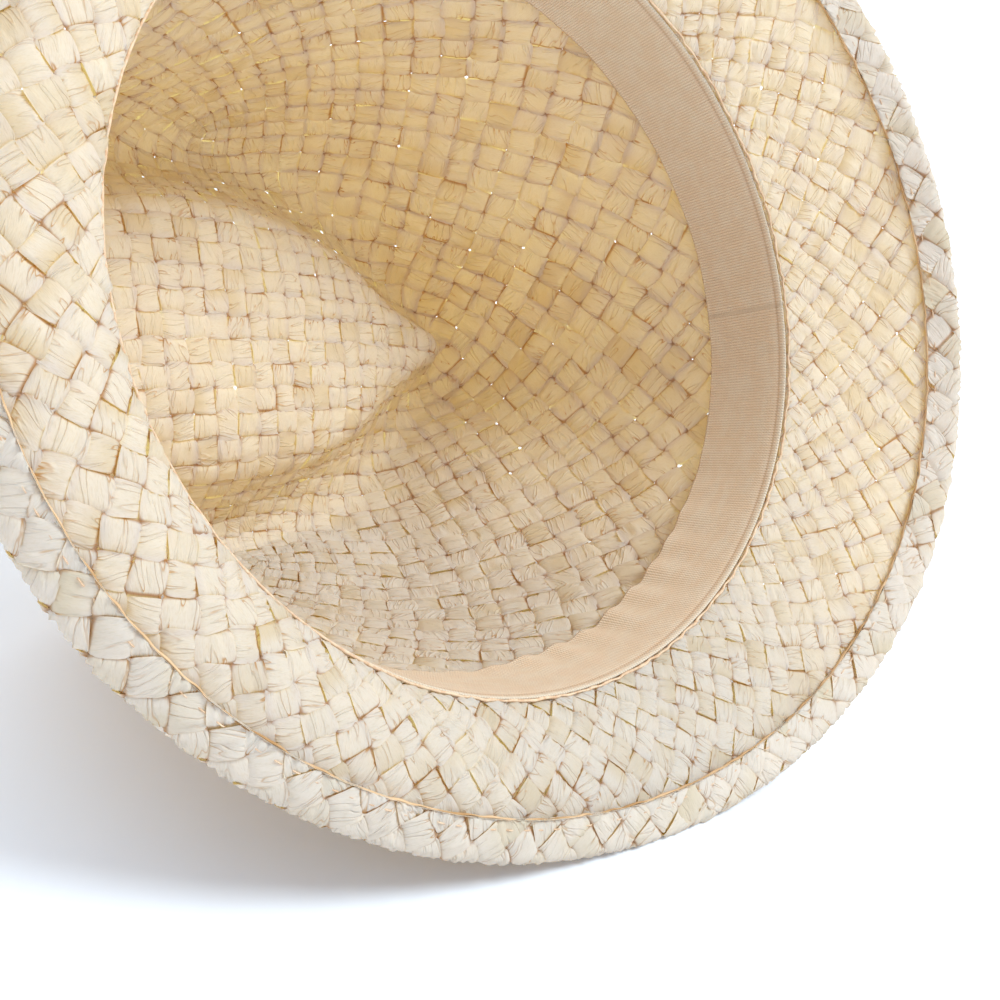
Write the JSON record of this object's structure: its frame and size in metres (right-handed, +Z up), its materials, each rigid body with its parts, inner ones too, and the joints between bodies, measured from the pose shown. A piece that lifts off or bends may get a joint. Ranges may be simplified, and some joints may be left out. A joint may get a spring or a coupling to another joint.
{
  "type": "straw trilby",
  "caption": "Woven straw trilby lying on its side: teardrop crown, short brim with a folded hem, cotton sweatband inside.",
  "frame": {"origin": "middle of the hat's outline on the surface that it lies on", "axes": "+Z up, +X towards the hat's front, +Y away from the head opening towards the crown's tip"},
  "size_m": [0.2666, 0.1908, 0.1978],
  "materials": {
    "paper_straw": "plaited crumpled paper straw, cream, matt",
    "cotton_tape": "ribbed cotton tape, beige, matt"
  },
  "bodies": {
    "root": {"straw_body": "paper_straw", "sweatband": "cotton_tape"}
  },
  "joints": []
}
